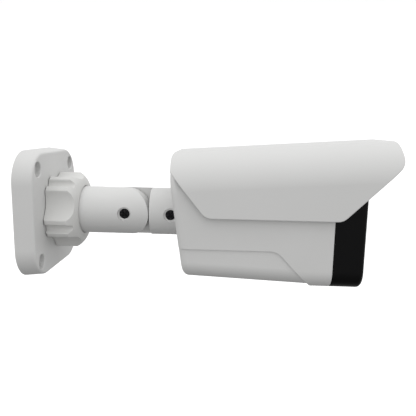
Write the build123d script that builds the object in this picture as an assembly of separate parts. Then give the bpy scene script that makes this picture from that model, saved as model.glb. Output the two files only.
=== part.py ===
"""Wall-mounted bullet security camera.

Frame: origin at the centre of the wall plate's rear face, +X away from the wall along the arm,
+Z up, +Y to the camera's left. Millimetres. Each function makes one separate piece.
"""
import os
from math import cos, radians, sin

from build123d import *

# ---- Wall plate ----
PLATE_W = 90.0          # width and height at the wall
PLATE_DRAFT = 6.0       # degrees, side walls lean in towards the front
PLATE_T = 13.5
PLATE_R = 22.3          # corner radius seen from the front
PLATE_RIM_R = 1.8       # rounding of the front rim
PLATE_SKIN = 4.0
HOLE_PITCH = 65.0       # wall screws, on a square
HOLE_R = 2.7
SINK_R = 5.2            # counterbore for the wall screw's head
SINK_DEPTH = 3.6
SINK_FLARE = 0.5        # bevel round the mouth of each counterbore
CABLE_R = 8.0           # hole that the camera's cable takes through the plate

# ---- Collar and lock ring ----
COLLAR_R = 21.4
COLLAR_BORE_R = 19.6
COLLAR_X = 28.4         # front end of the collar
RING_BACK = 13.9
RING_FRONT = 36.0
RING_BORE_R = 21.6
RING_MOUTH_R = 17.85
RING_R = 28.6           # over the lobes
RING_LOBES = 5
RING_LOBE_ANGLE = 50.0  # centre of the first lobe, from -Y towards +Z

# ---- Arm ----
ARM_R = 17.5
ARM_BORE_R = 13.2
ELBOW_X = 68.9          # tilt axis, along Y
LAP_GAP = 0.5           # between the rounded cheek ends and the shoulders
LAP_HALF_GAP = 0.5      # each cheek's inner face stands this far from the middle plane
ROLL_SCREW_X = 102.6
OUTER_ARM_END = 113.5
SCREW_HEAD_R = 3.5
SCREW_HEAD_T = 1.8
SCREW_SINK_R = 5.0      # shallow outer step of the counterbore
SCREW_SEAT_R = 3.8      # deeper inner step that the head sits in
ELBOW_SEAT = 4.4        # depth of the head's seat below the arm's side
ROLL_SEAT = 3.1
SCREW_R = 2.45
SCREW_HOLE_R = 2.55
WIRE_Z = -6.0           # centre of the wire duct that passes below the elbow screw
WIRE_R = 2.8

# ---- Head housing ----
HEAD_W = 88.0
HEAD_TOP = 37.4
HEAD_BOTTOM = -44.0
HEAD_TOP_R = 20.0
HEAD_BOTTOM_R = 13.0
HEAD_FRONT = 214.4      # where the black bezel starts
REAR_X = 108.5          # rear face at Z = 0
REAR_LEAN = 8.0         # degrees, top of the rear face further back
REAR_R = 5.0
RIM_R = 0.6             # small rounding of moulded and cast rims
WALL = 3.5
CAVITY_X = 118.0
CAVITY_H = 70.0
CAVITY_Z = -1.2
STEP_Z = -17.6          # upper edge of the recessed lower rear part
STEP_IN = 1.1           # how far that part stands back at the sides
STEP_END_X = 177.0      # where its upper edge turns down
STEP_FOOT_X = 203.0
LOWER_BOTTOM = -40.7    # bottom of the recessed part at LOWER_MID_X
LOWER_MID_X = 157.0
LOWER_SLOPE = 2.4       # degrees, falls towards the front

# ---- Head stem ----
STEM_R = 12.95
STEM_BORE_R = 8.5
STEM_BACK = 91.0

# ---- Bezel and window ----
BEZEL_FRONT = 235.3
BEZEL_EDGE_R = 3.0
WINDOW_W = 79.0
WINDOW_H = 72.6
WINDOW_R = 20.5
WINDOW_T = 2.5
LEDGE_X = 218.4         # ledge inside the bezel that carries the infrared board
BORE_IN = 5.0           # the bezel's bore is this much smaller than the window all round
POCKET_X = BEZEL_FRONT - WINDOW_T - 1.2
OPTIC_Z = -3.3          # optical axis height, the middle of the head's front

# ---- Sun shield ----
SHIELD_W = 96.4
SHIELD_T = 2.4
SHIELD_TOP = 46.3       # crown at SHIELD_REF_X
SHIELD_REF_X = 113.0
SHIELD_RISE = 3.9       # degrees, rises towards the front
SHIELD_R = 25.0
SHIELD_REAR_R = 9.0
SHIELD_WING_Z = 4.0
RAIL_Y = 16.0
RAIL_BACK = 122.0
RAIL_FRONT = 206.0

# ---- Camera module ----
HOLDER_X0, HOLDER_X1 = 198.0, 213.0
SENSOR_BOARD_X = 194.0
BOARD_T = 1.6
MAIN_BOARD_Z = -24.0
IR_BOARD_X = 218.5
SERVICE_X0, SERVICE_X1 = 128.0, 168.0
SERVICE_HALF_Y = 17.0
SEAT_Z = LOWER_BOTTOM + 2.0     # top of the service cover, before the underside's slope
BRACKET_SCREW_Y = 38.3


# ---- Helpers: plain solids placed by their ends ----
def tube_x(radius, x0, x1, y=0.0, z=0.0):
    return Pos((x0 + x1) / 2, y, z) * Cylinder(radius, x1 - x0, rotation=(0, 90, 0))


def rod_y(radius, x, z, y0, y1):
    return Pos(x, (y0 + y1) / 2, z) * Cylinder(radius, y1 - y0, rotation=(90, 0, 0))


def rod_z(radius, x, y, z0, z1):
    return Pos(x, y, (z0 + z1) / 2) * Cylinder(radius, z1 - z0)


def block(x0, x1, y0, y1, z0, z1):
    return Pos((x0 + x1) / 2, (y0 + y1) / 2, (z0 + z1) / 2) * Box(x1 - x0, y1 - y0, z1 - z0)


def rounded_bar(width, height, radius, x0, x1, z=0.0, taper=0.0):
    """Bar along X with a rounded rectangle for its section."""
    section = Plane.YZ.offset(x0) * Pos(0, z) * RectangleRounded(width, height, radius)
    return extrude(section, amount=x1 - x0, taper=taper)


def head_section(x, inset=0.0, bottom=HEAD_BOTTOM, top=HEAD_TOP):
    """Section of the head: wide corners above, tighter corners below."""
    width = HEAD_W - 2 * inset
    outline = Rectangle(width, top - bottom - 2 * inset)
    outline = fillet(outline.vertices().group_by(Axis.Y)[0], HEAD_BOTTOM_R - inset)
    high = outline.vertices().filter_by(lambda v: v.Y > (top - bottom) / 2 - inset - 0.1)
    outline = fillet(high, HEAD_TOP_R - inset)
    return Plane.YZ.offset(x) * Pos(0, (top + bottom) / 2) * outline


def hexagon_rod_y(across_flats, x, z, y0, y1):
    hexagon = RegularPolygon(across_flats / 2, 6, major_radius=False)
    return extrude(Plane.XZ.offset(-y1) * Pos(x, z) * hexagon, amount=y1 - y0)


def cross_recess(radius, depth):
    """Two crossed bars that cut a cross-head drive, opening towards -Z, at the origin."""
    bar = Box(1.7 * radius, 0.42 * radius, depth)
    other = Box(0.42 * radius, 1.7 * radius, depth)
    return Pos(0, 0, depth / 2) * bar + Pos(0, 0, depth / 2) * other


def side_screw(x, y_seat, length, radius):
    """Socketed screw along Y whose head rests on y_seat and points to -Y."""
    face = y_seat - SCREW_HEAD_T
    head = rod_y(SCREW_HEAD_R, x, 0, face, y_seat)
    head = fillet(head.edges().group_by(Axis.Y)[0], 0.5)
    shank = rod_y(radius, x, 0, y_seat, y_seat + length)
    drive = Pos(x, face, 0) * Rot(0, 45, 0) * Rot(-90, 0, 0) * cross_recess(SCREW_HEAD_R * 0.75, 1.2)
    return head + shank - drive


def side_sink(x, step, seat):
    """Stepped counterbore in the arm's -Y side, with the depths of its two floors."""
    return rod_y(SCREW_SINK_R, x, 0, -20, step - ARM_R) + rod_y(SCREW_SEAT_R, x, 0, -20, seat - ARM_R)


def wall_hole_places():
    half = HOLE_PITCH / 2
    return [(y, z) for y in (-half, half) for z in (-half, half)]


# ---- Wall side ----
def base_plate():
    plate = rounded_bar(PLATE_W, PLATE_W, PLATE_R, 0, PLATE_T, taper=PLATE_DRAFT)
    plate = fillet(plate.faces().sort_by(Axis.X)[-1].edges(), PLATE_RIM_R)
    hollow = rounded_bar(PLATE_W - 11, PLATE_W - 11, PLATE_R - 5.5, 0, PLATE_T - PLATE_SKIN)
    bosses = [tube_x(SINK_R + 2.2, 0, PLATE_T - PLATE_SKIN, y, z) for y, z in wall_hole_places()]
    bosses.append(tube_x(COLLAR_R, 0, PLATE_T - PLATE_SKIN))
    plate -= hollow - bosses
    plate += tube_x(COLLAR_R, PLATE_T - 1, COLLAR_X)
    plate -= tube_x(COLLAR_BORE_R, PLATE_T - 0.7, COLLAR_X)
    plate -= tube_x(CABLE_R + 2.0, 0, PLATE_T)
    for y, z in wall_hole_places():
        plate -= tube_x(HOLE_R, 0, PLATE_T, y, z)
        plate -= tube_x(SINK_R, PLATE_T - SINK_DEPTH, PLATE_T + 1, y, z)
        flare = Cone(SINK_R, SINK_R + SINK_FLARE, SINK_FLARE, rotation=(0, 90, 0))
        plate -= Pos(PLATE_T - SINK_FLARE / 2, y, z) * flare
    return plate - gasket_frame(1.6)


def gasket_frame(thickness):
    outer = rounded_bar(PLATE_W - 2.4, PLATE_W - 2.4, PLATE_R - 1.2, 0, thickness)
    inner = rounded_bar(PLATE_W - 7.6, PLATE_W - 7.6, PLATE_R - 3.8, 0, thickness)
    return outer - inner


def wall_gasket():
    return gasket_frame(1.5)


def cable_grommet():
    """Rubber sleeve in the plate's middle hole, with a lip on the wall side of the collar floor."""
    sleeve = tube_x(CABLE_R + 1.9, 1.0, PLATE_T - 0.8)
    return sleeve - tube_x(CABLE_R, 0, PLATE_T)


def thrust_seal():
    return tube_x(19.3, 12.9, 14.1) - tube_x(13.2, 12.9, 14.1)


def clamp_collar():
    """Split ring with a conical nose, squeezed onto the arm by the lock ring."""
    nose = Pos(COLLAR_X + 2.7, 0, 0) * Cone(19.4, 18.4, 2.6, rotation=(0, 90, 0))
    body = tube_x(19.4, 19.2, COLLAR_X + 1.4) + nose
    body -= tube_x(ARM_R + 0.08, 19, RING_FRONT)
    return body - block(19, RING_FRONT, -1.0, 1.0, 0, 25)


def slip_washer():
    back, front = COLLAR_X + 0.3, COLLAR_X + 1.3
    return tube_x(21.3, back, front) - tube_x(19.8, back, front)


def lock_ring_outline():
    """Five lobes with a shallow notch in each and a broad hollow between them."""
    outline = Circle(RING_R)
    step = 360.0 / RING_LOBES
    for i in range(RING_LOBES):
        lobe = radians(180.0 - RING_LOBE_ANGLE + i * step)
        hollow = lobe + radians(step / 2)
        outline -= Pos(28.2 * cos(lobe), 28.2 * sin(lobe)) * Circle(3.0)
        outline -= Pos(42.9 * cos(hollow), 42.9 * sin(hollow)) * Circle(19.5)
    return fillet(outline.vertices(), 1.3)


def lock_ring():
    ring = extrude(Plane.YZ.offset(RING_BACK) * lock_ring_outline(), amount=RING_FRONT - RING_BACK)
    dome = Plane.XY * make_face([
        Polyline((RING_BACK, 0), (RING_BACK, RING_R - 0.8), (RING_BACK + 0.8, RING_R + 0.1),
                 (RING_FRONT - 6.5, RING_R + 0.1)),
        ThreePointArc((RING_FRONT - 6.5, RING_R + 0.1), (RING_FRONT - 2.5, 25.3), (RING_FRONT, 18.6)),
        Polyline((RING_FRONT, 18.6), (RING_FRONT, 0), (RING_BACK, 0)),
    ])
    ring &= revolve(dome, Axis.X)
    ring -= tube_x(RING_BORE_R, RING_BACK - 1, COLLAR_X + 1.6)
    ring -= Pos(COLLAR_X + 3.1, 0, 0) * Cone(20.3, 18.9, 3.0, rotation=(0, 90, 0))
    ring -= tube_x(RING_MOUTH_R, RING_BACK, RING_FRONT + 1)
    return fillet(ring.faces().sort_by(Axis.X)[-1].edges(), 0.4)


# ---- Arm ----
def cheek(side):
    """Half cylinder with a round end about the tilt axis; side is -1 for -Y and 1 for +Y."""
    near, far = sorted((side * LAP_HALF_GAP, side * 20))
    back, front = sorted((ELBOW_X, ELBOW_X + side * 40))
    half = block(0, 140, near, far, -20, 20)
    tail = block(back, front, -20, 20, -20, 20)
    end = rod_y(ARM_R, ELBOW_X, 0, -ARM_R, ARM_R)
    return tube_x(ARM_R, ELBOW_X - 30, ELBOW_X + 30) & half & (end + tail)


def round_shoulder(arm, x):
    """Soften the outer edge of the shoulder at x, beside the other arm's cheek."""
    edges = arm.edges().filter_by(GeomType.CIRCLE)
    edges = edges.filter_by(lambda e: abs(e.center(CenterOf.MASS).X - x) < 0.1 and e.length > 50)
    return fillet(edges, 0.5)


def wire_duct():
    return tube_x(WIRE_R, ELBOW_X - 26, ELBOW_X + 26, 0, WIRE_Z)


def inner_arm():
    shoulder = ELBOW_X - ARM_R - LAP_GAP
    arm = round_shoulder(tube_x(ARM_R, 14.3, shoulder) + cheek(-1), shoulder)
    arm += tube_x(19.2, 14.3, 18.8)
    arm -= tube_x(ARM_BORE_R, 14, shoulder - 6)
    arm -= wire_duct()
    arm -= rod_y(SCREW_HOLE_R, ELBOW_X, 0, -20, 0)
    return arm - side_sink(ELBOW_X, 2.0, ELBOW_SEAT)


def elbow_screw():
    return side_screw(ELBOW_X, ELBOW_SEAT - ARM_R - 0.05, 26.0, SCREW_R)


def friction_washer():
    ring = rod_y(6.2, ELBOW_X, 0, -LAP_HALF_GAP + 0.02, LAP_HALF_GAP - 0.02)
    ring -= rod_y(SCREW_HOLE_R + 0.1, ELBOW_X, 0, -1, 1)
    return ring - wire_duct()


def elbow_nut():
    return hexagon_rod_y(8.0, ELBOW_X, 0, 11.0, 15.0) - rod_y(SCREW_HOLE_R, ELBOW_X, 0, 10, 16)


def outer_arm():
    shoulder = ELBOW_X + ARM_R + LAP_GAP
    arm = round_shoulder(tube_x(ARM_R, shoulder, OUTER_ARM_END) + cheek(1), shoulder)
    arm -= tube_x(ARM_BORE_R, shoulder + 3.5, OUTER_ARM_END)
    arm -= wire_duct()
    arm -= rod_y(SCREW_HOLE_R, ELBOW_X, 0, 0, 20)
    arm -= hexagon_rod_y(8.2, ELBOW_X, 0, 10.95, 20)
    arm -= rod_y(SCREW_HOLE_R, ROLL_SCREW_X, 0, -20, 0)
    return arm - side_sink(ROLL_SCREW_X, 1.2, ROLL_SEAT)


def roll_screw():
    return side_screw(ROLL_SCREW_X, ROLL_SEAT - ARM_R - 0.05, 1.9, SCREW_R)


# ---- Head stem ----
def head_stem():
    stem = tube_x(STEM_R, STEM_BACK, CAVITY_X + 5) + tube_x(18.0, CAVITY_X, CAVITY_X + 3)
    stem -= tube_x(STEM_R + 1, ROLL_SCREW_X - 2.8, ROLL_SCREW_X + 2.8) - tube_x(STEM_R - 1.2, 90, 110)
    return stem - tube_x(STEM_BORE_R, STEM_BACK - 1, CAVITY_X + 6)


def stem_washer():
    return tube_x(17.5, CAVITY_X + 3.1, CAVITY_X + 4.1) - tube_x(STEM_R + 0.1, CAVITY_X, CAVITY_X + 6)


def stem_plug():
    """Rubber plug that closes the stem round the wires; its middle hole takes them."""
    return tube_x(STEM_BORE_R - 0.05, CAVITY_X - 9, CAVITY_X + 4) - tube_x(2.6, 100, CAVITY_X + 6)


# ---- Head ----
def rear_cutter():
    """Everything behind the leaning rear face."""
    return Pos(REAR_X, 0, 0) * Rot(0, -REAR_LEAN, 0) * Pos(-50, 0, 0) * Box(100, 200, 200)


def step_region():
    """Side view of the recessed lower rear part, carried across the whole width."""
    outline = make_face(Polyline(
        (80, STEP_Z), (STEP_END_X, STEP_Z), (STEP_FOOT_X, HEAD_BOTTOM - 1), (STEP_FOOT_X, -70),
        (80, -70), (80, STEP_Z)))
    corner = outline.vertices().sort_by_distance(Vector(STEP_END_X, STEP_Z))[0]
    outline = fillet(corner, 10.0)
    return extrude(Plane.XZ * outline, amount=60, both=True)


def follow_underside(shape):
    """Tip a level shape so that it follows the underside, which falls towards the front."""
    pivot = Pos(LOWER_MID_X, 0, LOWER_BOTTOM)
    return pivot * Rot(0, LOWER_SLOPE, 0) * pivot.inverse() * shape


def lower_body():
    """Slimmer bar that fills the recessed part of the head."""
    section = head_section(70, inset=STEP_IN, bottom=LOWER_BOTTOM - STEP_IN, top=20)
    return follow_underside(extrude(section, amount=150))


def housing():
    rear = rear_cutter()
    shell = extrude(head_section(90), amount=HEAD_FRONT - 90) - rear
    shell = fillet(shell.faces().sort_by(Axis.X)[0].edges(), REAR_R)
    lower = (lower_body() - rear)
    lower = fillet(lower.faces().sort_by(Axis.X)[0].edges(), REAR_R)
    region = step_region()
    shell = (shell - region) + (lower & region)
    shell = fillet(shell.faces().sort_by(Axis.X)[-1].edges(), RIM_R)
    cavity = rounded_bar(HEAD_W - 2 * WALL, CAVITY_H, 19.0, CAVITY_X, HEAD_FRONT + 1, z=CAVITY_Z)
    shell -= cavity
    shell -= tube_x(ARM_R + 0.35, 90, CAVITY_X - 4)
    shell -= tube_x(STEM_R + 0.05, 100, CAVITY_X + 1)
    for x, y in service_screw_places():
        shell += follow_underside(rod_z(4.2, x, y, SEAT_Z + 0.5, SEAT_Z + 8.0))
        shell -= follow_underside(rod_z(1.6, x, y, SEAT_Z - 5, SEAT_Z + 7.0))
    opening = block(SERVICE_X0, SERVICE_X1, -SERVICE_HALF_Y, SERVICE_HALF_Y, -60, -30)
    shell -= follow_underside(opening + service_seat(0.2))
    for side in (-1, 1):
        shell += block(171.0, 181.9, side * 38.5 - 3, side * 38.5 + 3, 0, 10)
        shell -= tube_x(1.25, 172, 183, side * BRACKET_SCREW_Y, 5)
    for x, y in rail_screw_places():
        shell -= rod_z(1.35, x, y, HEAD_TOP - 5, HEAD_TOP + 1)
    for y, z in bezel_screw_places():
        shell += tube_x(4.6, HEAD_FRONT - 14, HEAD_FRONT, y, z)
        shell -= tube_x(1.45, HEAD_FRONT - 12, HEAD_FRONT + 1, y, z)
    return shell


def service_screw_places():
    return [(x, 0.0) for x in (SERVICE_X0 - 6.0, SERVICE_X1 + 6.0)]


def service_seat(gap):
    """Shallow round-ended recess in the underside that the service cover fills."""
    length = SERVICE_X1 - SERVICE_X0 + 24
    middle = (SERVICE_X0 + SERVICE_X1) / 2
    plan = RectangleRounded(length + 2 * gap, 2 * SERVICE_HALF_Y + 8 + 2 * gap, 8 + gap)
    return extrude(Plane.XY.offset(-60) * Pos(middle, 0) * plan, amount=60 + SEAT_Z + gap)


def service_cover():
    """Plate that follows the falling underside and closes the service opening."""
    cover = service_seat(0.0)
    for x, y in service_screw_places():
        cover -= rod_z(1.7, x, y, -61, -30)
        cover -= rod_z(3.1, x, y, -61, LOWER_BOTTOM + 1.2)
    return follow_underside(cover) & lower_body()


def service_gasket():
    length = SERVICE_X1 - SERVICE_X0
    middle = (SERVICE_X0 + SERVICE_X1) / 2
    outer = RectangleRounded(length - 0.6, 2 * SERVICE_HALF_Y - 0.6, 1.5)
    inner = RectangleRounded(length - 5.0, 2 * SERVICE_HALF_Y - 5.0, 1.0)
    ring = extrude(Plane.XY.offset(SEAT_Z + 0.05) * Pos(middle, 0) * (outer - inner), amount=1.5)
    return follow_underside(ring)


def service_screws():
    screws = []
    for x, y in service_screw_places():
        head = rod_z(2.9, x, y, LOWER_BOTTOM, LOWER_BOTTOM + 1.15)
        drive = Pos(x, y, LOWER_BOTTOM) * cross_recess(2.2, 0.8)
        shank = rod_z(1.5, x, y, LOWER_BOTTOM + 1.15, LOWER_BOTTOM + 8.0)
        screws.append(follow_underside(head + shank - drive))
    return screws


def front_gasket():
    outer = extrude(head_section(HEAD_FRONT, inset=2.4), amount=0.8)
    inner = rounded_bar(HEAD_W - 8.4, 72.4, 20.0, HEAD_FRONT - 1, HEAD_FRONT + 2, z=CAVITY_Z - 0.5)
    return outer - inner


def bezel_screw_places():
    return [(y, z) for y in (-37.0, 37.0) for z in (-17.0, 17.0)]


def front_bezel():
    """Black frame that carries the window; its rear face takes the gasket."""
    frame = extrude(head_section(HEAD_FRONT + 0.1), amount=BEZEL_FRONT - HEAD_FRONT - 0.1)
    frame = fillet(frame.faces().sort_by(Axis.X)[-1].edges(), BEZEL_EDGE_R)
    frame -= extrude(head_section(HEAD_FRONT, inset=2.35), amount=0.85)
    frame -= rounded_bar(WINDOW_W, WINDOW_H, WINDOW_R, POCKET_X, BEZEL_FRONT + 1, z=OPTIC_Z)
    frame -= bezel_bore(0.0, LEDGE_X, BEZEL_FRONT)
    frame -= bezel_bore(3.5, HEAD_FRONT, LEDGE_X + 1)
    for y, z in bezel_screw_places():
        frame -= tube_x(1.6, HEAD_FRONT, LEDGE_X + 1, y, z)
        frame -= tube_x(3.0, LEDGE_X, POCKET_X + 0.5, y, z)
    return frame


def bezel_bore(inset, x0, x1):
    """Bar with the section of the bezel's bore, made smaller all round by inset."""
    smaller = BORE_IN + inset
    return rounded_bar(WINDOW_W - 2 * smaller, WINDOW_H - 2 * smaller, WINDOW_R - smaller, x0, x1,
                       z=OPTIC_Z)


def bezel_screws():
    screws = []
    for y, z in bezel_screw_places():
        head = tube_x(2.6, LEDGE_X, LEDGE_X + 1.8, y, z)
        drive = Pos(LEDGE_X + 1.8, y, z) * Rot(0, -90, 0) * cross_recess(2.0, 1.0)
        screws.append(head + tube_x(1.4, LEDGE_X - 14, LEDGE_X, y, z) - drive)
    return screws


def front_window():
    front = BEZEL_FRONT - 0.5
    return rounded_bar(WINDOW_W - 0.4, WINDOW_H - 0.4, WINDOW_R - 0.2, front - WINDOW_T, front,
                       z=OPTIC_Z)


def window_gasket():
    frame = rounded_bar(WINDOW_W - 0.6, WINDOW_H - 0.6, WINDOW_R - 0.3, POCKET_X + 0.05,
                        POCKET_X + 0.65, z=OPTIC_Z)
    return frame - bezel_bore(-2.0, POCKET_X, POCKET_X + 1)


def emitter_places():
    """Six infrared emitters, three on each side of the lens."""
    return [(side * 24.5, OPTIC_Z + row * 19.0) for side in (-1, 1) for row in (-1, 0, 1)]


LIGHT_SENSOR_PLACE = (0.0, OPTIC_Z - 25.0)


def front_mask():
    """Black tray close behind the window, with a hole for the lens and for each emitter."""
    mask = bezel_bore(0.3, IR_BOARD_X, 229.2) - bezel_bore(1.7, IR_BOARD_X - 1, 227.2)
    mask -= tube_x(15.2, 225, 231, 0, OPTIC_Z)
    for y, z in emitter_places():
        mask -= tube_x(6.2, 225, 231, y, z)
    return mask - tube_x(2.2, 225, 231, *LIGHT_SENSOR_PLACE)


def lens_baffle():
    """Soft ring from the lens board to the window that keeps the infrared light off the lens."""
    ring = tube_x(14.9, IR_BOARD_X + BOARD_T + 0.1, 232.1, 0, OPTIC_Z)
    return ring - tube_x(12.6, IR_BOARD_X, 233, 0, OPTIC_Z)


# ---- Optics ----
def lens_barrel():
    barrel = tube_x(6.9, 206.0, 217.0, 0, OPTIC_Z) + tube_x(10.8, 217.0, 227.0, 0, OPTIC_Z)
    knurl = [Pos(0, 10.9 * cos(radians(a)), OPTIC_Z + 10.9 * sin(radians(a)))
             * tube_x(0.45, 218.0, 222.0) for a in range(0, 360, 12)]
    barrel -= knurl
    barrel -= tube_x(8.2, 221.5, 228, 0, OPTIC_Z)
    barrel -= tube_x(4.6, 205, 222, 0, OPTIC_Z)
    return barrel


def front_lens_glass():
    """Plano-convex front element."""
    ball = Pos(212.0, 0, OPTIC_Z) * Sphere(14.0)
    return tube_x(8.1, 221.6, 230, 0, OPTIC_Z) & ball


def rear_lens_glass():
    ball = Pos(216.2, 0, OPTIC_Z) * Sphere(10.0)
    return tube_x(4.5, 200, 210.0, 0, OPTIC_Z) & ball


def lens_holder():
    body = block(HOLDER_X0, HOLDER_X1, -11, 11, OPTIC_Z - 11, OPTIC_Z + 11)
    body = fillet(body.edges().filter_by(Axis.X), 2.0)
    body += block(HOLDER_X0, HOLDER_X0 + 3, -17, 17, OPTIC_Z - 4.5, OPTIC_Z + 4.5)
    body -= tube_x(6.96, 205.0, HOLDER_X1 + 1, 0, OPTIC_Z)
    body -= tube_x(5.4, HOLDER_X0 + 3.5, 206, 0, OPTIC_Z)
    body -= block(HOLDER_X0 - 1, HOLDER_X0 + 3.6, -8.6, 8.6, OPTIC_Z - 8.6, OPTIC_Z + 8.6)
    body -= block(202.3, 204.7, -20, 20, OPTIC_Z - 6.4, OPTIC_Z + 6.4)
    for side in (-1, 1):
        body -= tube_x(1.1, HOLDER_X0 - 1, HOLDER_X0 + 4, side * 14.3, OPTIC_Z)
    return body


def filter_shuttle():
    """Sliding frame with the infrared-cut glass on one side and clear glass on the other."""
    frame = block(202.5, 204.5, -18.0, 5.8, OPTIC_Z - 6.0, OPTIC_Z + 6.0)
    frame -= block(202, 205, -5.0, 5.0, OPTIC_Z - 5.0, OPTIC_Z + 5.0)
    return frame - block(202, 205, -17.0, -7.0, OPTIC_Z - 5.0, OPTIC_Z + 5.0)


def filter_glasses():
    cut = block(203.1, 203.9, -4.95, 4.95, OPTIC_Z - 4.95, OPTIC_Z + 4.95)
    clear = block(203.1, 203.9, -16.95, -7.05, OPTIC_Z - 4.95, OPTIC_Z + 4.95)
    return [cut, clear]


def filter_coil():
    """Small driver beside the holder that throws the shuttle from side to side."""
    coil = block(205.6, 212.6, 11.0, 17.0, OPTIC_Z - 9.0, OPTIC_Z + 1.0)
    return fillet(coil.edges().filter_by(Axis.X), 1.0)


def image_sensor():
    chip = block(SENSOR_BOARD_X + BOARD_T, SENSOR_BOARD_X + BOARD_T + 1.4, -6.5, 6.5,
                 OPTIC_Z - 6.0, OPTIC_Z + 6.0)
    return chamfer(chip.faces().sort_by(Axis.X)[-1].edges(), 0.3)


def sensor_board():
    board = block(SENSOR_BOARD_X, SENSOR_BOARD_X + BOARD_T, -19, 19, OPTIC_Z - 19, OPTIC_Z + 19)
    board = fillet(board.edges().filter_by(Axis.X), 2.0)
    for y in (-16, 16):
        for z in (-16, 16):
            board -= tube_x(1.2, 190, 200, y, OPTIC_Z + z)
    return board


def sensor_posts():
    """Four posts that carry the sensor board on the bracket."""
    return [tube_x(2.4, 184.1, SENSOR_BOARD_X - 0.02, y, OPTIC_Z + z) - tube_x(1.1, 184, 195, y, OPTIC_Z + z)
            for y in (-16, 16) for z in (-16, 16)]


def sensor_screws():
    face = SENSOR_BOARD_X + BOARD_T
    return [tube_x(2.1, face + 0.02, face + 1.4, y, OPTIC_Z + z) + tube_x(1.05, 187, face + 0.1, y, OPTIC_Z + z)
            for y in (-16, 16) for z in (-16, 16)]


def bracket():
    """Aluminium frame that holds both boards and spreads their heat."""
    upright = block(182.0, 184.0, -33, 33, -28.0, 27.0)
    upright -= block(181, 185, -12, 12, -10, 14)
    for y in (-16, 16):
        for z in (-16, 16):
            upright -= tube_x(1.1, 181, 185, y, OPTIC_Z + z)
    feet = [block(182.0, 199.8, side * 33 - 1, side * 33 + 1, -12.0, 22.0) for side in (-1, 1)]
    shelf = block(122.0, 184.0, -34, 34, -22.2, -20.2) - block(110, 176, -24, 24, -23, -19)
    for x, y in board_screw_places():
        shelf -= rod_z(1.1, x, y, -23, -20)
    ears = [block(182.0, 184.0, side * 36.5 - 3.6, side * 36.5 + 3.6, 0, 10)
            - tube_x(1.6, 181, 185, side * BRACKET_SCREW_Y, 5) for side in (-1, 1)]
    return upright + feet + shelf + ears


def bracket_screws():
    return [tube_x(2.1, 184.02, 185.6, side * BRACKET_SCREW_Y, 5)
            + tube_x(1.2, 173.5, 184.1, side * BRACKET_SCREW_Y, 5) for side in (-1, 1)]


def main_board():
    board = block(124, 180.5, -32, 32, MAIN_BOARD_Z, MAIN_BOARD_Z + BOARD_T)
    board = fillet(board.edges().filter_by(Axis.Z), 2.0)
    for x, y in board_screw_places():
        board -= rod_z(1.2, x, y, -30, -20)
    return board


def board_screw_places():
    return [(x, y) for x in (127.5, 177.0) for y in (-28.5, 28.5)]


def board_screws():
    low = MAIN_BOARD_Z
    return [rod_z(2.1, x, y, low - 1.4, low - 0.02) + rod_z(1.05, x, y, low - 0.1, -20.3)
            for x, y in board_screw_places()]


def main_chips():
    """Processor, memory, power and driver chips on the main board's upper side."""
    top = MAIN_BOARD_Z + BOARD_T
    processor = block(145, 161, -8, 8, top, top + 1.8)
    memory = block(145, 157, 12, 22, top, top + 1.2)
    power = block(132, 140, -20, -10, top, top + 3.0)
    driver = block(165, 173, -18, -12, top, top + 1.4)
    capacitors = [rod_z(3.2, x, 18.5, top, top + 8.0) for x in (134.0, 141.0)]
    return [processor, memory, power, driver, *capacitors]


def network_socket():
    """Multi-way socket for the wires that come through the stem."""
    top = MAIN_BOARD_Z + BOARD_T
    body = block(125, 130, -9, 9, top, top + 5.5)
    return body - block(124.5, 129, -8, 8, top + 1, top + 4.8)


def card_socket():
    """Memory-card slot under the main board; the card goes in towards the front."""
    body = block(146, 160, -7.5, 7.5, MAIN_BOARD_Z - 2.6, MAIN_BOARD_Z)
    return body - block(145, 158.8, -5.8, 5.8, MAIN_BOARD_Z - 2.2, MAIN_BOARD_Z - 0.9)


def memory_card():
    card = block(143.6, 158.6, -5.5, 5.5, MAIN_BOARD_Z - 2.05, MAIN_BOARD_Z - 1.05)
    card = fillet(card.edges().filter_by(Axis.Z), 0.8)
    return card - block(143, 144.4, -5.6, 5.6, MAIN_BOARD_Z - 2.06, MAIN_BOARD_Z - 1.7)


def reset_switch():
    body = block(133, 139, 8, 14, MAIN_BOARD_Z - 3.4, MAIN_BOARD_Z)
    return body - rod_z(1.9, 136, 11, MAIN_BOARD_Z - 4, MAIN_BOARD_Z - 1.2)


def reset_button():
    button = rod_z(1.7, 136, 11, MAIN_BOARD_Z - 4.9, MAIN_BOARD_Z - 2.0)
    return fillet(button.edges().group_by(Axis.Z)[0], 0.3)


def drying_bag():
    bag = block(124, 150, -14, 14, 18, 24)
    return fillet(bag.edges(), 2.2)


# ---- Infrared ring ----
def infrared_board():
    board = bezel_bore(2.0, IR_BOARD_X, IR_BOARD_X + BOARD_T)
    return board - tube_x(12.0, IR_BOARD_X - 1, IR_BOARD_X + 3, 0, OPTIC_Z)


def infrared_emitters():
    face = IR_BOARD_X + BOARD_T
    emitters = []
    for y, z in emitter_places():
        base = block(face, face + 1.2, y - 2.6, y + 2.6, z - 2.6, z + 2.6)
        die = block(face + 1.2, face + 1.5, y - 0.7, y + 0.7, z - 0.7, z + 0.7)
        emitters.append(base + die)
    return emitters


def emitter_lenses():
    """Clear cups with a domed front, one over each emitter."""
    face = IR_BOARD_X + BOARD_T
    wall = face + 3.0
    profile = make_face([
        Polyline((wall, 5.8), (face, 5.8), (face, 3.8), (face + 2.2, 3.8), (face + 2.2, 0),
                 (wall + 3.4, 0)),
        ThreePointArc((wall + 3.4, 0), (wall + 2.5, 3.2), (wall, 5.8)),
    ])
    cup = revolve(profile, Axis.X)
    return [Pos(0, y, z) * cup for y, z in emitter_places()]


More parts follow.
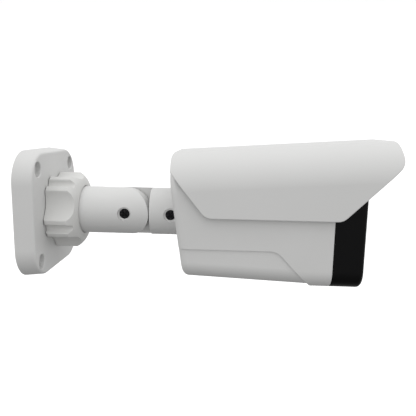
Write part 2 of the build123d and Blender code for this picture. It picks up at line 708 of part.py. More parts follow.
def light_sensor():
    y, z = LIGHT_SENSOR_PLACE
    face = IR_BOARD_X + BOARD_T
    body = tube_x(1.9, face, face + 5.5, y, z)
    return fillet(body.edges().group_by(Axis.X)[-1], 1.2)


# ---- Sun shield ----
def shield_bar(inset, back=80.0, front=280.0):
    """Solid under the shield's outer surface, or under its inner surface with an inset."""
    width = SHIELD_W - 2 * inset
    low = -60.0
    outline = Rectangle(width, SHIELD_TOP - inset - low)
    high = outline.vertices().group_by(Axis.Y)[-1]
    outline = fillet(high, SHIELD_R - inset)
    section = Plane.YZ.offset(back) * Pos(0, (SHIELD_TOP - inset + low) / 2) * outline
    bar = extrude(section, amount=front - back)
    pivot = Pos(SHIELD_REF_X, 0, SHIELD_TOP)
    return pivot * Rot(0, -SHIELD_RISE, 0) * pivot.inverse() * bar


def shield_profile():
    """Side view of the shield, with its rounded tips and the sloping wing edges."""
    corners = [((105.5, 33.5), 0.8), ((129.3, SHIELD_WING_Z), 9.0), ((218.4, SHIELD_WING_Z), 9.0),
               ((256.0, 41.0), 11.0), ((254.2, 62.0), 8.0), ((105.1, 49.8), SHIELD_REAR_R)]
    points = [point for point, _ in corners]
    outline = make_face(Polyline(*points, points[0]))
    for point, radius in corners:
        corner = outline.vertices().sort_by_distance(Vector(*point))[0]
        outline = fillet(corner, radius)
    return extrude(Plane.XZ * outline, amount=60, both=True)


def rail_profile(gap=0.0):
    """T section of one rail seen from the front, grown by gap."""
    low = HEAD_TOP
    stem = Pos(0, low + 1.5) * Rectangle(4 + 2 * gap, 3.0 + 2 * gap)
    head = Pos(0, low + 2.5) * Rectangle(8 + 2 * gap, 1.6 + 2 * gap)
    return stem + head


def rail_screw_places():
    return [(x, side * RAIL_Y) for x in (RAIL_BACK + 8, RAIL_FRONT - 8) for side in (-1, 1)]


def shield_rails():
    rails = []
    for side in (-1, 1):
        section = Plane.YZ.offset(RAIL_BACK) * Pos(side * RAIL_Y, 0) * rail_profile()
        rail = extrude(section, amount=RAIL_FRONT - RAIL_BACK)
        for x, y in rail_screw_places():
            rail -= rod_z(1.35, x, y, HEAD_TOP - 1, HEAD_TOP + 2.2)
        rails.append(rail)
    return rails


def rail_screws():
    """Screws from inside the housing's roof up into the rails."""
    under = HEAD_TOP - WALL - 0.25
    return [rod_z(2.4, x, y, under - 1.6, under) + rod_z(1.3, x, y, under, HEAD_TOP + 2.1)
            for x, y in rail_screw_places()]


def sun_shield():
    shell = (shield_bar(0.0) - shield_bar(SHIELD_T)) & shield_profile()
    shell = fillet(shell.edges(), RIM_R)
    inner = shield_bar(SHIELD_T - 0.5)
    for side in (-1, 1):
        for x in (132.0, 186.0):
            lug = block(x, x + 16, side * RAIL_Y - 6.5, side * RAIL_Y + 6.5, HEAD_TOP + 0.8, 60)
            slot = Plane.YZ.offset(x - 1) * Pos(side * RAIL_Y, 0) * rail_profile(0.3)
            shell += (lug & inner) - extrude(slot, amount=18)
    return shell


PIECES = {
    "base_plate": base_plate,
    "wall_gasket": wall_gasket,
    "cable_grommet": cable_grommet,
    "thrust_seal": thrust_seal,
    "clamp_collar": clamp_collar,
    "slip_washer": slip_washer,
    "lock_ring": lock_ring,
    "inner_arm": inner_arm,
    "elbow_screw": elbow_screw,
    "friction_washer": friction_washer,
    "elbow_nut": elbow_nut,
    "outer_arm": outer_arm,
    "roll_screw": roll_screw,
    "head_stem": head_stem,
    "stem_washer": stem_washer,
    "stem_plug": stem_plug,
    "housing": housing,
    "service_cover": service_cover,
    "service_gasket": service_gasket,
    "service_screws": service_screws,
    "front_gasket": front_gasket,
    "front_bezel": front_bezel,
    "bezel_screws": bezel_screws,
    "front_window": front_window,
    "window_gasket": window_gasket,
    "front_mask": front_mask,
    "lens_baffle": lens_baffle,
    "lens_barrel": lens_barrel,
    "front_lens_glass": front_lens_glass,
    "rear_lens_glass": rear_lens_glass,
    "lens_holder": lens_holder,
    "filter_shuttle": filter_shuttle,
    "filter_glasses": filter_glasses,
    "filter_coil": filter_coil,
    "image_sensor": image_sensor,
    "sensor_board": sensor_board,
    "sensor_posts": sensor_posts,
    "sensor_screws": sensor_screws,
    "bracket": bracket,
    "bracket_screws": bracket_screws,
    "main_board": main_board,
    "board_screws": board_screws,
    "main_chips": main_chips,
    "network_socket": network_socket,
    "card_socket": card_socket,
    "memory_card": memory_card,
    "reset_switch": reset_switch,
    "reset_button": reset_button,
    "drying_bag": drying_bag,
    "infrared_board": infrared_board,
    "infrared_emitters": infrared_emitters,
    "emitter_lenses": emitter_lenses,
    "light_sensor": light_sensor,
    "shield_rails": shield_rails,
    "rail_screws": rail_screws,
    "sun_shield": sun_shield,
}


def main():
    os.makedirs("parts", exist_ok=True)
    for name, make in PIECES.items():
        shape = make()
        if isinstance(shape, list):
            shape = Compound(children=shape)
        export_step(shape, f"parts/{name}.step")


main()
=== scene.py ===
"""Finish for a wall-mounted bullet camera, laid out as a Blender add-on and run as a script."""

import bmesh
import bpy
import numpy as np
from mathutils import Matrix, Vector


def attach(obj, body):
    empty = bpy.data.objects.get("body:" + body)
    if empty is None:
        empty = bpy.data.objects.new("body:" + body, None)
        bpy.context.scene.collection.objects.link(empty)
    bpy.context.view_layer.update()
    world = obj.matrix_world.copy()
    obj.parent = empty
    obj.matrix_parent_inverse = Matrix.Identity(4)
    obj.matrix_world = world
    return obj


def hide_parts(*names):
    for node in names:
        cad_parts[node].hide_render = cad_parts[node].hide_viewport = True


bl_info = {
    "name": "Bullet camera finish",
    "version": (1, 0, 0),
    "blender": (4, 5, 0),
    "location": "View3D > Sidebar > Bullet Camera",
    "description": "Gives the packed bullet camera its surfaces, stage and studio light",
    "category": "Object",
}

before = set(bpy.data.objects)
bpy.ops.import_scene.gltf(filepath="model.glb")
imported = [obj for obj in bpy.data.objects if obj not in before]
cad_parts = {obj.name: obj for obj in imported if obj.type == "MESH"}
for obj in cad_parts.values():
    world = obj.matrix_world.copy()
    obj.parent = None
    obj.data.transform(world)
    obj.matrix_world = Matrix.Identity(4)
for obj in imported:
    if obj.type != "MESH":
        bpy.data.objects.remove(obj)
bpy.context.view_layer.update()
MM = 0.001
NOISE_LOW = 0.3     # smooth noise seldom leaves this range
NOISE_HIGH = 0.7
BAG_CENTRE_X = 0.137
BAG_CENTRE_Z = 0.021
BAG_CROWN = 0.0022  # rise of each face at the middle
BAG_SEAL = 0.0001   # half the thickness of the pressed ends
BEAD_SPACING = 0.00034
BEAD_RISE = 0.00022
CAMERA_PLACE = (0.1439, -0.3482, 0.0635)
CAMERA_TURN = (-2.47, 9.84, 0.98)  # degrees to the right, downwards, and about its own axis


# ---------------------------------------------------------------- nodes and colours
def linear(hex_colour):
    """An sRGB hex colour as linear red, green, blue and an alpha of 1."""
    parts = [int(hex_colour[i:i + 2], 16) / 255 for i in (1, 3, 5)]
    return [p / 12.92 if p <= 0.04045 else ((p + 0.055) / 1.055) ** 2.4 for p in parts] + [1.0]


def rgba(colour):
    """A colour property, which Blender already keeps linear, as four numbers."""
    return list(colour)[:3] + [1.0]


def dimmed(tone, share):
    """A colour at a share of its brightness."""
    return [c * share for c in tone[:3]] + [1.0]


def add(tree, kind, inputs=None, **settings):
    """Add one node; an input given as a socket is linked, and any other value is set."""
    node = tree.nodes.new(kind)
    for name, value in settings.items():
        setattr(node, name, value)
    for name, value in (inputs or {}).items():
        if isinstance(value, bpy.types.NodeSocket):
            tree.links.new(value, node.inputs[name])
        else:
            node.inputs[name].default_value = value
    return node


def begin(name):
    """A new material with an empty tree and its Object coordinates."""
    material = bpy.data.materials.new(name)
    material.use_nodes = True
    tree = material.node_tree
    tree.nodes.clear()
    return material, tree, add(tree, "ShaderNodeTexCoord").outputs["Object"]


def finish(tree, **sockets):
    """Close a material: the surface with the given sockets, joined to the output."""
    names = {key.replace("_", " "): value for key, value in sockets.items()}
    surface = add(tree, "ShaderNodeBsdfPrincipled", names).outputs["BSDF"]
    add(tree, "ShaderNodeOutputMaterial", {"Surface": surface})


def cloudy(place, size_mm, detail=2.0, roughness=0.5, distortion=0.0):
    """Settings of a smooth noise whose patches measure about size_mm."""
    return {"Vector": place, "Scale": 1 / (size_mm * MM), "Detail": detail,
            "Roughness": roughness, "Distortion": distortion}


def between(pattern, low, high, from_low=NOISE_LOW, from_high=NOISE_HIGH):
    """Settings that stretch a pattern over the range low to high."""
    return {"Value": pattern, "From Min": from_low, "From Max": from_high, "To Min": low, "To Max": high}


def laid_over(tree, pattern, first, second, from_low=NOISE_LOW, from_high=NOISE_HIGH):
    """Second colour laid over the first where the pattern is high."""
    stretched = between(pattern, 0.0, 1.0, from_low, from_high)
    share = add(tree, "ShaderNodeMapRange", stretched).outputs["Result"]
    return add(tree, "ShaderNodeMix", {0: share, 6: first, 7: second}, data_type="RGBA").outputs[2]


def mottled(tree, look, first, second):
    """Two colours in soft patches; gives the patches' pattern and the colour."""
    pattern = add(tree, "ShaderNodeTexNoise", look).outputs["Fac"]
    return pattern, laid_over(tree, pattern, first, second)


def relief(tree, look, depth_mm, normal=None):
    """Fine uneven surface of a given depth, as a normal; it may lie on top of an earlier one."""
    pattern = add(tree, "ShaderNodeTexNoise", look).outputs["Fac"]
    bump = {"Height": pattern, "Distance": depth_mm * MM}
    if normal is not None:
        bump["Normal"] = normal
    return add(tree, "ShaderNodeBump", bump).outputs["Normal"]


def skin(tree, pattern, low, high, depth_mm):
    """One pattern felt twice: as roughness from low to high, and as a surface depth_mm deep."""
    dull = add(tree, "ShaderNodeMapRange", between(pattern, low, high)).outputs["Result"]
    normal = add(tree, "ShaderNodeBump", {"Height": pattern, "Distance": depth_mm * MM}).outputs["Normal"]
    return {"Roughness": dull, "Normal": normal}


def hazed(tree, look, low, high):
    """Roughness that wanders in patches between low and high."""
    pattern = add(tree, "ShaderNodeTexNoise", look).outputs["Fac"]
    return add(tree, "ShaderNodeMapRange", between(pattern, low, high)).outputs["Result"]


def painted_corner_shade(tree, shade, shadow_tone, reach_mm, most):
    """Painted shade: a darker tone laid into occluded corners and gaps, most of it deep inside, none in the
    open.
    """
    reach = {"Distance": reach_mm * MM}
    clear = add(tree, "ShaderNodeAmbientOcclusion", reach, samples=8).outputs["AO"]
    share = add(tree, "ShaderNodeMapRange", between(clear, most, 0.0, 0.15, 0.85)).outputs["Result"]
    return add(tree, "ShaderNodeMix", {0: share, 6: shade, 7: shadow_tone}, data_type="RGBA").outputs[2]


# ---------------------------------------------------------------- coated and moulded skins
def powder_coated_casting(look):
    """Die-cast aluminium under a satin polyester powder coat: a fine orange peel, a soft sheen,
    and painted shade, a darker tone laid into the casting's corners and gaps."""
    material, tree, place = begin("powder_coated_casting")
    tone = rgba(look.coat)
    shade = mottled(tree, cloudy(place, 35.0, 3.0), dimmed(tone, 0.975), tone)[1]
    # Painted shade: the coat darkened to 80 % in occluded corners and gaps.
    shade = painted_corner_shade(tree, shade, dimmed(tone, 0.80), 3.0, 0.35)
    peel = add(tree, "ShaderNodeTexNoise", cloudy(place, 1.3)).outputs["Fac"]
    coat = skin(tree, peel, look.coat_gloss, look.coat_gloss + 0.08, 0.012)
    coat["Normal"] = relief(tree, cloudy(place, 0.35, 1.0), 0.004, coat["Normal"])
    finish(tree, Base_Color=shade, IOR=1.5, **coat)
    return material


def spark_textured_asa(look):
    """Weatherproof ASA plastic from a spark-eroded mould: an even fine grain and a low sheen."""
    material, tree, place = begin("spark_textured_asa")
    tone = rgba(look.shield)
    shade = mottled(tree, cloudy(place, 60.0), dimmed(tone, 0.98), tone)[1]
    grain = add(tree, "ShaderNodeTexNoise", cloudy(place, 0.45, 3.0, 0.6)).outputs["Fac"]
    moulded = skin(tree, grain, look.shield_gloss, look.shield_gloss + 0.1, 0.006)
    moulded["Normal"] = relief(tree, cloudy(place, 45.0, 1.0), 0.05, moulded["Normal"])
    finish(tree, Base_Color=shade, IOR=1.49, **moulded)
    return material


def moulded_nylon(look):
    """Glass-filled nylon of the lock ring: duller than the coat, with faint flow marks."""
    material, tree, place = begin("moulded_nylon")
    tone = rgba(look.ring)
    flow, shade = mottled(tree, cloudy(place, 9.0, 4.0, 0.6, 1.2), dimmed(tone, 0.97), tone)
    # Painted shade: the nylon darkened to 80 % in occluded corners and gaps.
    shade = painted_corner_shade(tree, shade, dimmed(tone, 0.8), 4.0, 0.30)
    dull = add(tree, "ShaderNodeMapRange", between(flow, 0.44, 0.54)).outputs["Result"]
    finish(tree, Base_Color=shade, Roughness=dull, IOR=1.53,
           Normal=relief(tree, cloudy(place, 0.5), 0.006))
    return material


def black_polycarbonate(look):
    """Smooth black polycarbonate: deep colour, low haze and a few wiping marks in the gloss."""
    material, tree, place = begin("black_polycarbonate")
    finish(tree, Base_Color=rgba(look.bezel), IOR=1.58, Specular_IOR_Level=0.1,
           Roughness=hazed(tree, cloudy(place, 12.0, 5.0, 0.65, 0.8), 0.24, 0.36),
           Normal=relief(tree, cloudy(place, 18.0, 1.0), 0.02))
    return material


# ---------------------------------------------------------------- metals
def black_oxide_steel():
    """Screws blackened in a hot salt bath: near black, oily sheen, bare metal at rubbed edges."""
    material, tree, place = begin("black_oxide_steel")
    rub = add(tree, "ShaderNodeTexNoise", cloudy(place, 0.9, 4.0, 0.6)).outputs["Fac"]
    pointed = add(tree, "ShaderNodeNewGeometry").outputs["Pointiness"]
    edge = add(tree, "ShaderNodeMapRange", between(pointed, 0.0, 1.0, 0.52, 0.60)).outputs["Result"]
    patchy = add(tree, "ShaderNodeMapRange", between(rub, 0.3, 1.0)).outputs["Result"]
    worn = add(tree, "ShaderNodeMath", {0: edge, 1: patchy}, operation="MULTIPLY").outputs[0]
    tones = {0: worn, 6: linear("#1b1b1d"), 7: linear("#6d6c6a")}
    shade = add(tree, "ShaderNodeMix", tones, data_type="RGBA").outputs[2]
    finish(tree, Base_Color=shade, Metallic=0.85, **skin(tree, rub, 0.28, 0.45, 0.006))
    return material


def zinc_plated_steel():
    """Bright zinc plate on steel: pale, faintly blue, with soft roller lines."""
    material, tree, place = begin("zinc_plated_steel")
    lines = add(tree, "ShaderNodeMapping", {"Vector": place, "Scale": (1.0, 1.0, 14.0)}).outputs["Vector"]
    streak = add(tree, "ShaderNodeTexNoise", cloudy(lines, 1.2, 3.0)).outputs["Fac"]
    shade = mottled(tree, cloudy(place, 3.0, 3.0), linear("#b9bcc0"), linear("#d3d3cf"))[1]
    finish(tree, Base_Color=shade, Metallic=1.0, **skin(tree, streak, 0.22, 0.38, 0.004))
    return material


def mill_finish_aluminium():
    """Bare aluminium as rolled or turned: grey-white with fine parallel lines."""
    material, tree, place = begin("mill_finish_aluminium")
    lines = add(tree, "ShaderNodeMapping", {"Vector": place, "Scale": (0.06, 1.0, 1.0)}).outputs["Vector"]
    streak, shade = mottled(tree, cloudy(lines, 0.5, 3.0), linear("#b8babc"), linear("#d0d1d2"))
    finish(tree, Base_Color=shade, Metallic=1.0, **skin(tree, streak, 0.28, 0.42, 0.005))
    return material


def black_anodised_aluminium():
    """Lens barrel, turned and anodised black: fine turning rings about the optical axis."""
    material, tree, place = begin("black_anodised_aluminium")
    rings = add(tree, "ShaderNodeTexWave", {
        "Vector": place, "Scale": 1 / (0.9 * MM), "Distortion": 0.3}, bands_direction="X").outputs["Fac"]
    cloud, shade = mottled(tree, cloudy(place, 2.5, 3.0), linear("#111112"), linear("#1c1c1e"))
    dull = add(tree, "ShaderNodeMapRange", between(cloud, 0.32, 0.46)).outputs["Result"]
    turned = add(tree, "ShaderNodeBump", {"Height": rings, "Distance": 0.004 * MM}).outputs["Normal"]
    finish(tree, Base_Color=shade, Metallic=0.6, Roughness=dull, Normal=turned)
    return material


# ---------------------------------------------------------------- soft and small parts
def black_silicone():
    """Silicone and nitrile seals: matt black with a dusty bloom."""
    material, tree, place = begin("black_silicone")
    bloom, shade = mottled(tree, cloudy(place, 4.0, 4.0, 0.6), linear("#151515"), linear("#232322"))
    dull = add(tree, "ShaderNodeMapRange", between(bloom, 0.62, 0.8)).outputs["Result"]
    finish(tree, Base_Color=shade, Roughness=dull, IOR=1.43, Normal=relief(tree, cloudy(place, 0.4), 0.01))
    return material


def natural_nylon():
    """Uncoloured nylon: milky, slightly translucent and waxy."""
    material, tree, place = begin("natural_nylon")
    cloud, shade = mottled(tree, cloudy(place, 6.0, 3.0), linear("#d8d4c6"), linear("#e6e3d8"))
    finish(tree, Base_Color=shade, IOR=1.53, Subsurface_Weight=0.15,
           Subsurface_Radius=(0.002, 0.0018, 0.0014), **skin(tree, cloud, 0.38, 0.5, 0.01))
    return material


def solder_mask_board():
    """Glass-fibre board under green solder mask, with copper tracks standing a little proud."""
    material, tree, place = begin("solder_mask_board")
    tracks = add(tree, "ShaderNodeTexBrick", {
        "Vector": place, "Scale": 180.0, "Mortar Size": 0.012, "Mortar Smooth": 0.3,
        "Brick Width": 0.9, "Row Height": 0.22, "Color1": (1, 1, 1, 1), "Color2": (1, 1, 1, 1),
        "Mortar": (0, 0, 0, 1)}).outputs["Fac"]
    tones = {0: tracks, 6: linear("#0f4a2a"), 7: linear("#1d6b3f")}
    shade = add(tree, "ShaderNodeMix", tones, data_type="RGBA").outputs[2]
    spots = add(tree, "ShaderNodeTexVoronoi", {"Vector": place, "Scale": 420.0}).outputs["Distance"]
    pads = add(tree, "ShaderNodeMapRange", between(spots, 1.0, 0.0, 0.10, 0.13)).outputs["Result"]
    tones = {0: pads, 6: shade, 7: linear("#c8b27a")}
    shade = add(tree, "ShaderNodeMix", tones, data_type="RGBA").outputs[2]
    proud = add(tree, "ShaderNodeBump", {"Height": tracks, "Distance": 0.03 * MM}).outputs["Normal"]
    finish(tree, Base_Color=shade, Roughness=0.3, IOR=1.52, Normal=proud)
    return material


def moulded_epoxy():
    """Chip packages: black epoxy with a spark-eroded grain."""
    material, tree, place = begin("moulded_epoxy")
    grain = add(tree, "ShaderNodeTexNoise", cloudy(place, 0.25)).outputs["Fac"]
    shade = mottled(tree, cloudy(place, 3.0), linear("#1a1a1c"), linear("#26262a"))[1]
    finish(tree, Base_Color=shade, IOR=1.55, **skin(tree, grain, 0.5, 0.65, 0.008))
    return material


def matt_black_abs():
    """Light-trap black ABS: rough and nearly without a sheen, so that it throws nothing back."""
    material, tree, place = begin("matt_black_abs")
    grain, shade = mottled(tree, cloudy(place, 0.35, 3.0, 0.6), linear("#0b0b0c"), linear("#151516"))
    finish(tree, Base_Color=shade, IOR=1.5, **skin(tree, grain, 0.55, 0.7, 0.01))
    return material


def ivory_connector():
    """Natural connector plastic: ivory, smooth, slightly glossy."""
    material, tree, place = begin("ivory_connector")
    cloud, shade = mottled(tree, cloudy(place, 5.0), linear("#ddd8c8"), linear("#e9e5d8"))
    finish(tree, Base_Color=shade, IOR=1.52, **skin(tree, cloud, 0.35, 0.45, 0.01))
    return material


def emitter_ceramic():
    """Emitter package: white ceramic with a yellow-grey phosphor tint."""
    material, tree, place = begin("emitter_ceramic")
    speck, shade = mottled(tree, cloudy(place, 0.8, 3.0), linear("#c9c3b0"), linear("#e3dfd2"))
    finish(tree, Base_Color=shade, IOR=1.6, **skin(tree, speck, 0.35, 0.5, 0.01))
    return material


def spun_bonded_bag():
    """Drying-agent bag: white spun-bonded film pressed with a fine pattern of dots."""
    material, tree, place = begin("spun_bonded_bag")
    dots = add(tree, "ShaderNodeTexVoronoi", {"Vector": place, "Scale": 1 / (1.4 * MM)}).outputs["Distance"]
    shade = laid_over(tree, dots, linear("#cfcfca"), linear("#ecece8"))
    pressed = add(tree, "ShaderNodeBump", {"Height": dots, "Distance": 0.06 * MM}).outputs["Normal"]
    finish(tree, Base_Color=shade, Roughness=0.8, IOR=1.49, Normal=pressed)
    return material


# ---------------------------------------------------------------- glass
def coated_lens_glass():
    """Optical glass with an anti-reflection coat, which leaves a faint violet-green cast."""
    material, tree, place = begin("coated_lens_glass")
    facing = add(tree, "ShaderNodeLayerWeight", {"Blend": 0.35}).outputs["Facing"]
    tones = {0: facing, 6: linear("#8f9bd8"), 7: linear("#a7d8c4")}
    shade = add(tree, "ShaderNodeMix", tones, data_type="RGBA").outputs[2]
    finish(tree, Base_Color=shade, Roughness=hazed(tree, cloudy(place, 6.0), 0.01, 0.03), IOR=1.6,
           Transmission_Weight=0.85, Coat_Weight=0.6, Coat_Roughness=0.02, Coat_Tint=linear("#b6a6ff"))
    return material


def smoked_window_glass():
    """Toughened front glass, bloomed against glare, with a light smoke tint over the black inside."""
    material, tree, place = begin("smoked_window_glass")
    smear = hazed(tree, cloudy(place, 14.0, 4.0, 0.6, 0.5), 0.0, 0.012)
    finish(tree, Base_Color=linear("#b4b6ba"), Roughness=smear, IOR=1.5,
           Specular_IOR_Level=0.16, Transmission_Weight=1.0)
    return material


def clear_acrylic():
    """Clear acrylic lens cups over the emitters, with slight ripples from the mould."""
    material, tree, place = begin("clear_acrylic")
    ripple = add(tree, "ShaderNodeTexNoise", cloudy(place, 3.0)).outputs["Fac"]
    finish(tree, Base_Color=linear("#f2f3f4"), IOR=1.49, Transmission_Weight=0.95,
           **skin(tree, ripple, 0.02, 0.06, 0.01))
    return material


def blocking_filter_glass():
    """Infrared-cut glass: pale cyan with a rose reflection."""
    material, tree, place = begin("blocking_filter_glass")
    finish(tree, Base_Color=linear("#a9dfe0"), Roughness=hazed(tree, cloudy(place, 5.0), 0.01, 0.03),
           IOR=1.52, Transmission_Weight=0.9, Coat_Weight=0.5, Coat_Tint=linear("#ff9fb0"))
    return material


def sensor_under_glass():
    """Image sensor: a dark iridescent die under its cover glass."""
    material, tree, place = begin("sensor_under_glass")
    cells = add(tree, "ShaderNodeTexChecker", {"Vector": place, "Scale": 1 / (0.7 * MM)}).outputs["Fac"]
    tones = {0: cells, 6: linear("#20283a"), 7: linear("#2c3a44")}
    shade = add(tree, "ShaderNodeMix", tones, data_type="RGBA").outputs[2]
    finish(tree, Base_Color=shade, Roughness=0.15, IOR=1.5, Coat_Weight=1.0, Coat_Roughness=0.02)
    return material


def pale_studio_paper(stage):
    """Seamless paper that glows a little of its own, so that it stays pale far from the light."""
    material, tree, place = begin("pale_studio_paper")
    tone = rgba(stage.backdrop)
    shade = mottled(tree, cloudy(place, 900.0), dimmed(tone, 0.985), tone)[1]
    finish(tree, Base_Color=shade, Roughness=0.9, IOR=1.4, Specular_IOR_Level=0.1,
           Emission_Color=(1.0, 1.0, 1.0, 1.0), Emission_Strength=stage.floor_glow)
    return material


# ---------------------------------------------------------------- what a user may change
class BulletCameraLook(bpy.types.PropertyGroup):
    coat: bpy.props.FloatVectorProperty(
        name="Casting coat", description="Colour of the powder coat on the castings",
        subtype="COLOR", size=3, min=0, max=1, default=linear("#d6d6d5")[:3])
    shield: bpy.props.FloatVectorProperty(
        name="Shield", description="Colour of the sun shield's plastic",
        subtype="COLOR", size=3, min=0, max=1, default=linear("#d8d8d7")[:3])
    ring: bpy.props.FloatVectorProperty(
        name="Lock ring", description="Colour of the lock ring's nylon",
        subtype="COLOR", size=3, min=0, max=1, default=linear("#d7d7d5")[:3])
    bezel: bpy.props.FloatVectorProperty(
        name="Bezel", description="Colour of the black front frame",
        subtype="COLOR", size=3, min=0, max=1, default=linear("#060607")[:3])
    coat_gloss: bpy.props.FloatProperty(
        name="Coat roughness", description="Roughness of the powder coat", subtype="FACTOR",
        min=0, max=1, default=0.42)
    shield_gloss: bpy.props.FloatProperty(
        name="Shield roughness", description="Roughness of the shield's plastic", subtype="FACTOR",
        min=0, max=1, default=0.40)
    bag_length: bpy.props.FloatProperty(
        name="Bag length", description="Length of the drying bag", unit="LENGTH", min=0.01, default=0.0256)
    bag_width: bpy.props.FloatProperty(
        name="Bag width", description="Width of the drying bag", unit="LENGTH", min=0.01, default=0.0276)


class BulletCameraStage(bpy.types.PropertyGroup):
    floor_drop: bpy.props.FloatProperty(
        name="Floor below plate", description="Height of the arm's axis above the floor",
        unit="LENGTH", min=0.05, default=0.30)
    lens_mm: bpy.props.FloatProperty(
        name="Lens", description="Focal length of the picture's camera on a 36 mm sensor",
        unit="CAMERA", min=10, default=40.7)
    backdrop: bpy.props.FloatVectorProperty(
        name="Backdrop", description="Colour of the floor", subtype="COLOR", size=3, min=0, max=1,
        default=(0.9, 0.9, 0.9))
    floor_glow: bpy.props.FloatProperty(
        name="Floor glow", description="Light of the floor's own, as seen by the camera",
        subtype="FACTOR", min=0, max=1, default=0.32)
    light_below: bpy.props.FloatProperty(
        name="Light from below", description="Brightness of the tent straight down",
        subtype="FACTOR", min=0, max=3, default=0.19)
    light_above: bpy.props.FloatProperty(
        name="Light from above", description="Brightness of the tent straight up",
        subtype="FACTOR", min=0, max=3, default=1.47)


def dress(material, *nodes):
    """Give CAD nodes one material."""
    for name in nodes:
        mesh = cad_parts[name].data
        mesh.materials.clear()
        mesh.materials.append(material)


class BULLETCAM_OT_castings(bpy.types.Operator):
    """Coat the wall plate, the arm and the housing"""
    bl_idname = "bullet_camera.castings"
    bl_label = "Castings"

    def execute(self, context):
        look = context.scene.bullet_camera_look
        dress(powder_coated_casting(look), "base_plate", "inner_arm", "outer_arm", "housing",
              "service_cover")
        return {"FINISHED"}


class BULLETCAM_OT_mouldings(bpy.types.Operator):
    """Finish the shield, the lock ring and the bezel"""
    bl_idname = "bullet_camera.mouldings"
    bl_label = "Mouldings"

    def execute(self, context):
        look = context.scene.bullet_camera_look
        dress(spark_textured_asa(look), "sun_shield")
        dress(moulded_nylon(look), "lock_ring")
        dress(black_polycarbonate(look), "front_bezel")
        return {"FINISHED"}


class BULLETCAM_OT_metalwork(bpy.types.Operator):
    """Finish the screws, nuts, washers and bare metal parts"""
    bl_idname = "bullet_camera.metalwork"
    bl_label = "Metalwork"

    def execute(self, context):
        dress(black_oxide_steel(), "elbow_screw", "roll_screw", "bezel_screws")
        dress(zinc_plated_steel(), "slip_washer", "elbow_nut", "stem_washer", "service_screws",
              "sensor_screws", "bracket_screws", "board_screws", "rail_screws", "card_socket")
        dress(mill_finish_aluminium(), "head_stem", "bracket", "sensor_posts", "shield_rails")
        dress(black_anodised_aluminium(), "lens_barrel")
        return {"FINISHED"}


class BULLETCAM_OT_seals(bpy.types.Operator):
    """Finish the seals, gaskets and soft rings"""
    bl_idname = "bullet_camera.seals"
    bl_label = "Seals"

    def execute(self, context):
        dress(black_silicone(), "wall_gasket", "cable_grommet", "thrust_seal", "stem_plug", "service_gasket",
              "front_gasket", "window_gasket", "lens_baffle")
        dress(natural_nylon(), "clamp_collar", "friction_washer")
        return {"FINISHED"}


class BULLETCAM_OT_electronics(bpy.types.Operator):
    """Finish the boards and what they carry"""
    bl_idname = "bullet_camera.electronics"
    bl_label = "Electronics"

    def execute(self, context):
        dress(solder_mask_board(), "sensor_board", "main_board", "infrared_board")
        dress(moulded_epoxy(), "main_chips", "filter_coil", "filter_shuttle", "reset_switch", "memory_card")
        dress(ivory_connector(), "network_socket", "reset_button")
        dress(emitter_ceramic(), "infrared_emitters")
        dress(matt_black_abs(), "front_mask", "lens_holder")
        return {"FINISHED"}


def fill_bag(look):
    """Flat-sealed bag of drying beads, as a closed pillow.

    Each cross-section is a flattened loop: half the width times the cosine across, and the crown
    height times the sine, raised to 1.3 with its sign kept, upwards. The crown falls to nothing
    near both ends as the square root of one less the fourth power of the distance along, so that
    it ends in a flat seal. Beads raise it in a hexagon-like pattern of three crossed waves.
    """
    along = np.sin(np.linspace(-np.pi / 2, np.pi / 2, 61))[:, None]
    across = np.linspace(0.0, 2 * np.pi, 97)[None, :-1]
    swell = np.clip(1 - (np.abs(along) / 0.92) ** 4, 0, 1) ** 0.5
    rise = np.sign(np.sin(across)) * np.abs(np.sin(across)) ** 1.3
    x = (look.bag_length / 2) * along + 0 * across
    y = (look.bag_width / 2) * np.cos(across) * (1 - 0.03 * swell)
    straight = np.cos(x / BEAD_SPACING)
    leaning = np.cos((0.5 * x + 0.87 * y) / BEAD_SPACING) + np.cos((0.5 * x - 0.87 * y) / BEAD_SPACING)
    beads = (straight + leaning) / 3
    z = rise * (BAG_SEAL + swell * (BAG_CROWN + BEAD_RISE * beads * np.abs(rise)))
    z[[0, -1]] = 0.0
    points = np.stack([x + BAG_CENTRE_X, y, z + BAG_CENTRE_Z], axis=-1)
    bag = grid_piece("bead_bag", points, weld=True)
    bag.data.materials.append(spun_bonded_bag())
    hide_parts("drying_bag")
    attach(bag, "head")


class BULLETCAM_OT_drying_bag(bpy.types.Operator):
    """Make the bag of drying beads"""
    bl_idname = "bullet_camera.drying_bag"
    bl_label = "Drying bag"

    def execute(self, context):
        fill_bag(context.scene.bullet_camera_look)
        return {"FINISHED"}


class BULLETCAM_OT_optics(bpy.types.Operator):
    """Finish the window, the lenses and the sensor"""
    bl_idname = "bullet_camera.optics"
    bl_label = "Optics"

    def execute(self, context):
        dress(smoked_window_glass(), "front_window")
        dress(coated_lens_glass(), "front_lens_glass", "rear_lens_glass")
        dress(clear_acrylic(), "emitter_lenses", "light_sensor")
        dress(blocking_filter_glass(), "filter_glasses")
        dress(sensor_under_glass(), "image_sensor")
        return {"FINISHED"}


class BULLETCAM_OT_stage(bpy.types.Operator):
    """Set the pale floor, the soft light and the picture's camera"""
    bl_idname = "bullet_camera.stage"
    bl_label = "Stage"

    def execute(self, context):
        stage = context.scene.bullet_camera_stage
        lay_floor(stage)
        hang_light(context.scene, stage)
        place_camera(context.scene, stage)
        return {"FINISHED"}


